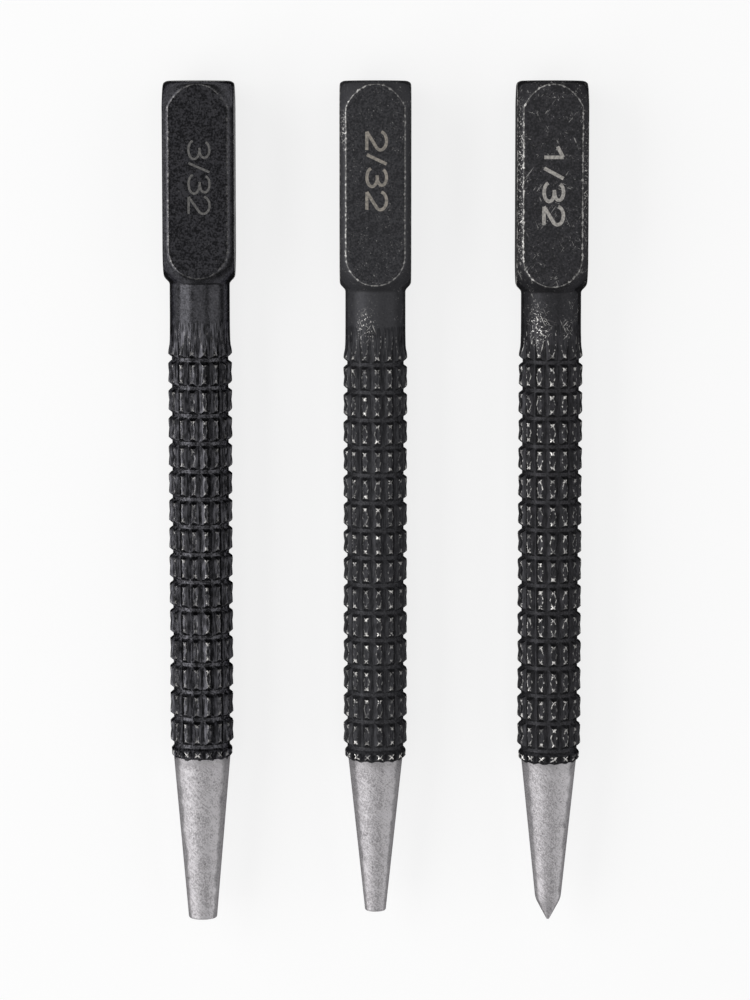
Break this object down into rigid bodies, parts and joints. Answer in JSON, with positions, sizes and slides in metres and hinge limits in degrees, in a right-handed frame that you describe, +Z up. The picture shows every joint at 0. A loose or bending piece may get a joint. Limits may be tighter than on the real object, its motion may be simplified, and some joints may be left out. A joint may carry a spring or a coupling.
{
  "type": "nail setter",
  "caption": "Set of one-piece steel nail setters lying side by side: square heads, rolled grid-knurl grips, ground tapers with cupped or pointed tips.",
  "frame": {"origin": "on the surface that the set lies on, below the middle of the set's box, half way along the longest setter", "axes": "+Y runs along the setters from their tips to their struck heads, +X from the widest tip to the pointed one, +Z up from the surface"},
  "size_m": [0.0506, 0.1018, 0.0086],
  "materials": {
    "black_oxide_steel": "black oxide on tool steel, satin, worn bright on edges and on the corners of the knurl",
    "ground_steel": "bare ground tool steel, with grinding marks across the taper",
    "etched_mark": "laser-etched numerals, dull tan grey"
  },
  "bodies": {
    "setter_2_32": {"nail_setter_2_32": "black_oxide_steel"},
    "setter_3_32": {"nail_setter_3_32": "black_oxide_steel"},
    "setter_1_32": {"nail_setter_1_32": "black_oxide_steel"}
  },
  "joints": [
    {"name": "lift_3_32", "type": "slide", "parent": "setter_2_32", "child": "setter_3_32", "axis": [0, 0, 1], "range_m": [0, 0.1]},
    {"name": "lift_1_32", "type": "slide", "parent": "setter_2_32", "child": "setter_1_32", "axis": [0, 0, 1], "range_m": [0, 0.1]}
  ]
}
